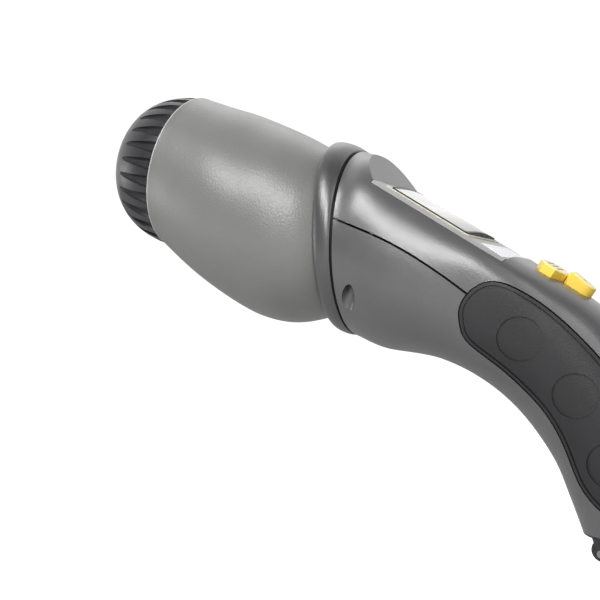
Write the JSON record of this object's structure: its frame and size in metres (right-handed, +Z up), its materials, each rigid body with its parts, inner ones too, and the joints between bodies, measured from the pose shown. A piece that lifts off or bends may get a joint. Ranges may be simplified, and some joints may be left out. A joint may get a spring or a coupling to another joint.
{
  "type": "label marker",
  "caption": "Hand-held ink-jet label marker with a bulb-shaped cartridge housing, twist cap, display, two keys, rubber grips and a roller-guided printing end.",
  "frame": {"origin": "middle of the nozzle plate's outer face, at the printing end", "axes": "+Z up out of the work and away from the nozzles, +X from the ink bulb towards the printing end, +Y across the width; the tool is symmetric about the XZ plane outside"},
  "size_m": [0.2552, 0.083, 0.1952],
  "materials": {
    "shell_grey": "spark-eroded moulded ABS",
    "collar_grey": "spark-eroded moulded ABS",
    "bulb_grey": "soft-touch painted ABS",
    "cap_black": "moulded polypropylene, satin",
    "seal_rubber": "moulded rubber",
    "inner_black": "moulded glass-filled nylon",
    "cartridge_white": "blow-moulded polyethylene",
    "valve_brass": "turned",
    "hose_black": "extruded tube",
    "bezel_grey": "moulded, fine matt",
    "gasket_cream": "die-cut foam",
    "window_pale": "hard-coated acrylic",
    "lcd_glass": "polished",
    "board_green": "solder-masked laminate",
    "screw_steel": "zinc plated",
    "axle_steel": "ground",
    "key_yellow": "moulded, satin gloss",
    "grip_rubber": "moulded thermoplastic elastomer",
    "cell_wrap": "heat-shrunk sleeve",
    "nose_black": "moulded acetal",
    "roller_rubber": "ground rubber",
    "head_aluminium": "milled"
  },
  "bodies": {
    "root": {"battery_cells": "cell_wrap", "battery_contacts": "screw_steel", "battery_tray": "inner_black", "board_screws": "screw_steel", "bulb_cover": "bulb_grey", "cap_seat": "inner_black", "cartridge_cradle": "inner_black", "case_screws": "screw_steel", "collar_ring": "collar_grey", "display_bezel": "bezel_grey", "display_gasket": "gasket_cream", "display_window": "window_pale", "docking_valve": "valve_brass", "encoder_sensor": "inner_black", "front_axle": "axle_steel", "ink_cartridge": "cartridge_white", "ink_hose": "hose_black", "key_board": "board_green", "key_mat": "seal_rubber", "key_switches": "inner_black", "lcd_panel": "lcd_glass", "left_grip": "grip_rubber", "lower_shell": "shell_grey", "main_board": "board_green", "nose_frame": "nose_black", "nozzle_plate": "axle_steel", "print_head": "head_aluminium", "rear_axle": "axle_steel", "right_grip": "grip_rubber", "upper_shell": "shell_grey", "valve_block": "inner_black"},
    "cap": {"fluted_cap": "cap_black", "cap_seal": "seal_rubber"},
    "mode_key": {"mode_key": "key_yellow"},
    "print_key": {"print_key": "key_yellow"},
    "front_roller": {"front_roller": "roller_rubber"},
    "rear_roller": {"rear_roller": "roller_rubber", "encoder_disc": "axle_steel"}
  },
  "joints": [
    {"name": "cap_twist", "type": "hinge", "parent": "root", "child": "cap", "pos_m": [-0.2029, 0, 0.1591], "axis": [-0.9681, 0, 0.2504], "range_deg": [0, 60]},
    {"name": "mode_key_press", "type": "slide", "parent": "root", "child": "mode_key", "axis": [-0.5592, 0, -0.829], "range_m": [0, 0.001], "stiffness_N_per_m": 1500},
    {"name": "print_key_press", "type": "slide", "parent": "root", "child": "print_key", "axis": [-0.5592, 0, -0.829], "range_m": [0, 0.001], "stiffness_N_per_m": 1500},
    {"name": "front_roller_spin", "type": "hinge", "parent": "root", "child": "front_roller", "pos_m": [-0.0126, 0, 0.0037], "axis": [0, 1, 0], "continuous": true},
    {"name": "rear_roller_spin", "type": "hinge", "parent": "root", "child": "rear_roller", "pos_m": [0.0126, 0, 0.0037], "axis": [0, 1, 0], "continuous": true}
  ]
}
